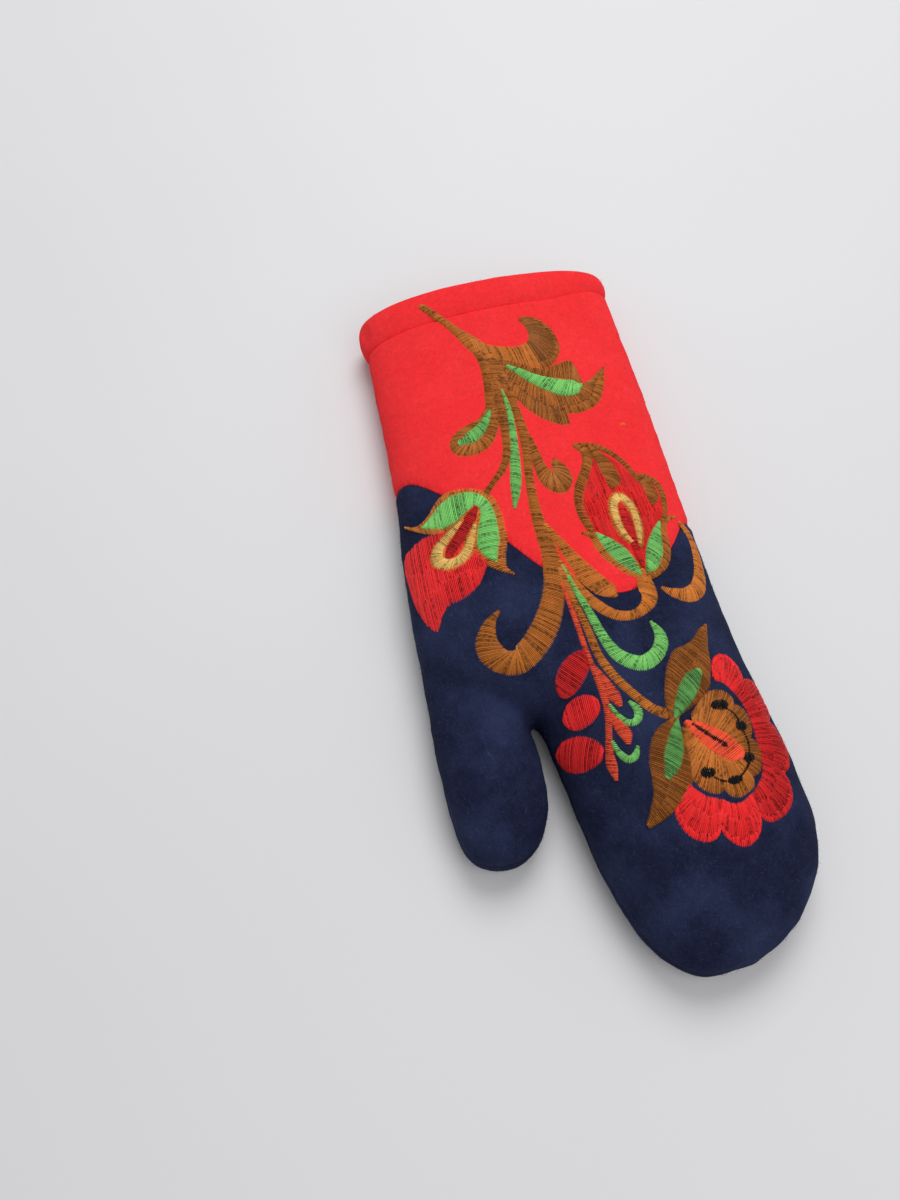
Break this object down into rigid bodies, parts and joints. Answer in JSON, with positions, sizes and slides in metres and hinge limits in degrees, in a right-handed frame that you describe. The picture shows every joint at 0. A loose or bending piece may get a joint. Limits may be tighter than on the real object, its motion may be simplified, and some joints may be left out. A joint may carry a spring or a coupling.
{
  "type": "winter mitten",
  "caption": "Thick felt mitten with a navy hand, a red gauntlet cuff with a folded hem, and raised floral scroll embroidery on the back, lying palm down.",
  "frame": {"origin": "centre of the mitten's bounding box, on the surface that it lies on", "axes": "+Y from the fingertips to the cuff, +Z out of the back of the hand, -X towards the thumb"},
  "size_m": [0.1318, 0.298, 0.039],
  "materials": {
    "navy_felt": "matte",
    "red_felt": "matte",
    "brown_thread": "satin",
    "ochre_thread": "satin",
    "green_thread": "satin",
    "red_thread": "satin",
    "crimson_thread": "satin",
    "orange_thread": "satin",
    "cream_thread": "satin"
  },
  "bodies": {
    "root": {"back_hand": "navy_felt", "palm_hand": "navy_felt", "back_cuff": "red_felt", "palm_cuff": "red_felt", "cuff_hem": "red_felt", "scroll_stem": "brown_thread", "side_hook": "ochre_thread", "big_leaf_centre": "green_thread", "drop_leaf_centre": "green_thread", "green_blade": "green_thread", "green_hook": "green_thread", "bud_rim": "brown_thread", "bud_calyx": "green_thread", "bud_petal": "red_thread", "bud_loop": "cream_thread", "bud_core": "red_thread", "tulip_rim": "brown_thread", "tulip_petals": "crimson_thread", "tulip_drop": "brown_thread", "tulip_side_drop": "brown_thread", "tulip_loop": "cream_thread", "tulip_core": "red_thread", "tulip_left_centre": "green_thread", "tulip_right_centre": "green_thread", "berry_stalk": "orange_thread", "berry_upper": "red_thread", "berry_middle": "red_thread", "berry_lower": "red_thread", "tendril_upper": "green_thread", "tendril_lower": "green_thread", "leaf_pair": "brown_thread", "leaf_pair_upper_centre": "green_thread", "leaf_pair_lower_centre": "green_thread", "flower_petals": "red_thread", "flower_heart": "ochre_thread", "flower_tongue": "orange_thread"}
  },
  "joints": []
}
